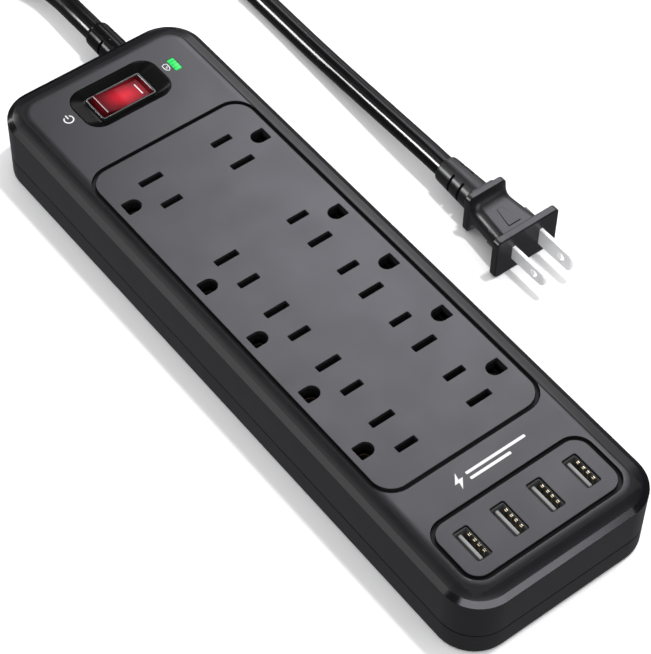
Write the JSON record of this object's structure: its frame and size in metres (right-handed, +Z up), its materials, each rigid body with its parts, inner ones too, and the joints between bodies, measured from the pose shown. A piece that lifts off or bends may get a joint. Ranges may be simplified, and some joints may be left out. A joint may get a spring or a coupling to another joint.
{
  "type": "surge protector power strip",
  "caption": "Long flat power strip with rows of wall-plug outlets and USB ports, a lit rocker switch, a green lamp and a black cord that ends in a flat-blade plug.",
  "frame": {"origin": "on the surface that the strip stands on, under the middle of the housing", "axes": "+Z up, +Y along the housing towards the switch and the cord's exit, +X to the right, where the plug lies"},
  "size_m": [0.1392, 0.4815, 0.0291],
  "materials": {
    "cover_plastic": "fine moulded texture, charcoal",
    "base_plastic": "fine moulded texture, charcoal",
    "panel_plastic": "fine moulded texture, charcoal",
    "switch_black": "black, semi-gloss",
    "switch_clear": "smoky grey, glossy",
    "rocker_red": "translucent red, lit",
    "lens_green": "translucent green, lit",
    "lamp_glass": "clear neon lamp",
    "contact_brass": "stamped strip",
    "spring_steel": "drawn wire",
    "zinc_steel": "zinc plated",
    "blade_nickel": "nickel plated",
    "shell_steel": "tinned sheet",
    "contact_gold": "gold plated",
    "tongue_plastic": "light grey",
    "plunger_plastic": "ivory",
    "tray_plastic": "flame-resistant grey",
    "board_green": "solder mask",
    "varistor_blue": "epoxy dipped",
    "ceramic_white": "glazed ceramic",
    "capacitor_yellow": "moulded box",
    "choke_copper": "enamelled wire",
    "capacitor_grey": "sleeved can",
    "wire_black": "wire insulation",
    "wire_white": "wire insulation",
    "wire_red": "wire insulation",
    "foot_rubber": "soft black",
    "cord_vinyl": "soft black jacket, slight gloss",
    "plug_vinyl": "soft black moulding",
    "plug_core_plastic": "hard insert"
  },
  "bodies": {
    "housing": {"top_cover": "cover_plastic", "base_cover": "base_plastic", "outlet_panel": "panel_plastic", "usb_panel": "panel_plastic", "switch_surround": "switch_black", "switch_body": "switch_clear", "switch_terminals": "contact_brass", "protected_lens": "lens_green", "indicator_board": "board_green", "contact_tray": "tray_plastic", "hot_bar_left": "contact_brass", "hot_bar_right": "contact_brass", "neutral_bar_left": "contact_brass", "neutral_bar_right": "contact_brass", "ground_bar_left": "contact_brass", "ground_bar_right": "contact_brass", "bus_jumpers": "wire_white", "surge_board": "board_green", "varistors": "varistor_blue", "thermal_fuse": "ceramic_white", "filter_capacitor": "capacitor_yellow", "filter_choke": "choke_copper", "usb_board": "board_green", "usb_transformer": "capacitor_yellow", "usb_capacitors": "capacitor_grey", "usb_contacts": "contact_gold", "usb_springs": "contact_gold", "hot_wire": "wire_black", "neutral_wire": "wire_white", "switched_wire": "wire_red", "board_leads": "wire_red", "base_screws": "zinc_steel", "rubber_feet": "foot_rubber", "cord_relief": "cord_vinyl", "cord_clamp": "tray_plastic", "clamp_screws": "zinc_steel", "cord_tail": "cord_vinyl", "cord_lead": "cord_vinyl", "cord_coil": "cord_vinyl", "cord_run": "cord_vinyl", "cord_tie": "cord_vinyl", "plug_grip": "plug_vinyl", "plug_core": "plug_core_plastic", "plug_blade_hot": "blade_nickel", "plug_blade_neutral": "blade_nickel", "usb_shell_1": "shell_steel", "usb_tongue_1": "tongue_plastic", "usb_shell_2": "shell_steel", "usb_tongue_2": "tongue_plastic", "usb_shell_3": "shell_steel", "usb_tongue_3": "tongue_plastic", "usb_shell_4": "shell_steel", "usb_tongue_4": "tongue_plastic"},
    "rocker": {"switch_rocker": "rocker_red", "rocker_plunger": "plunger_plastic", "plunger_spring": "spring_steel", "switch_lamp": "lamp_glass"},
    "lever": {"contact_lever": "contact_brass"}
  },
  "joints": [
    {"name": "rocker_hinge", "type": "hinge", "parent": "housing", "child": "rocker", "pos_m": [0, 0.1128, 0.0227], "axis": [0, 1, 0], "range_deg": [-16, 0]},
    {"name": "lever_hinge", "type": "hinge", "parent": "housing", "child": "lever", "pos_m": [0, 0.1128, 0.0122], "axis": [0, 1, 0], "range_deg": [0, 12]}
  ],
  "couplings": [
    {"joint": "lever_hinge", "follows": "rocker_hinge", "ratio": -0.75}
  ]
}
